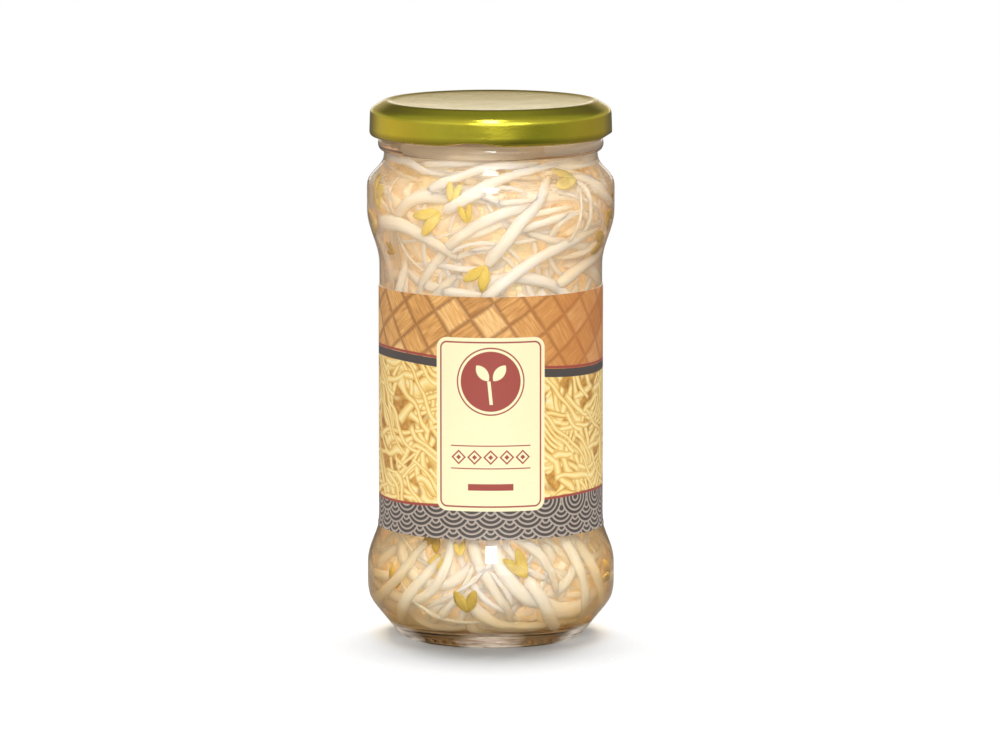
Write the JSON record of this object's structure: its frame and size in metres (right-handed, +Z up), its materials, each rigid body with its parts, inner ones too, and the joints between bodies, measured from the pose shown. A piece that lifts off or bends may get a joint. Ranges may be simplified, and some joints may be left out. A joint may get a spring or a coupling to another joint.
{
  "type": "jar of bean sprouts",
  "caption": "Waisted glass food jar with a twist-off metal lid and a wrap-round paper label, packed with pale bean sprouts and yellow seed leaves in brine.",
  "frame": {"origin": "centre of the jar's base, on the surface that it stands on", "axes": "+Z up along the jar's axis, -Y towards the front of the label, +X to the right of the label seen from the front"},
  "size_m": [0.0678, 0.0678, 0.1478],
  "materials": {
    "glass": "clear gloss",
    "lid_metal": "gold-green lacquer, gloss",
    "seal": "matte",
    "label_paper": "semi-gloss print",
    "brine": "clear liquid",
    "sprout": "moist, slightly translucent",
    "seed_leaf": "moist satin"
  },
  "bodies": {
    "jar": {"glass_jar": "glass", "paper_label": "label_paper", "brine": "brine", "sprouts": "sprout", "seed_leaves_01": "seed_leaf", "seed_leaves_02": "seed_leaf", "seed_leaves_03": "seed_leaf", "seed_leaves_04": "seed_leaf", "seed_leaves_05": "seed_leaf", "seed_leaves_06": "seed_leaf", "seed_leaves_07": "seed_leaf", "seed_leaves_08": "seed_leaf", "seed_leaves_09": "seed_leaf", "seed_leaves_10": "seed_leaf", "seed_leaves_11": "seed_leaf", "seed_leaves_12": "seed_leaf", "seed_leaves_13": "seed_leaf", "seed_leaves_14": "seed_leaf", "seed_leaves_15": "seed_leaf", "seed_leaves_16": "seed_leaf", "seed_leaves_17": "seed_leaf"},
    "seal": {"lid_seal": "seal"},
    "lid": {"lid": "lid_metal"}
  },
  "joints": [
    {"name": "lid_rise", "type": "slide", "parent": "jar", "child": "seal", "axis": [0, 0, 1], "range_m": [0, 0.002]},
    {"name": "lid_turn", "type": "hinge", "parent": "seal", "child": "lid", "pos_m": [0, 0, 0.1478], "axis": [0, 0, 1], "range_deg": [0, 60]}
  ],
  "couplings": [
    {"joint": "lid_rise", "follows": "lid_turn", "m_per_rad": 0.0019098}
  ]
}
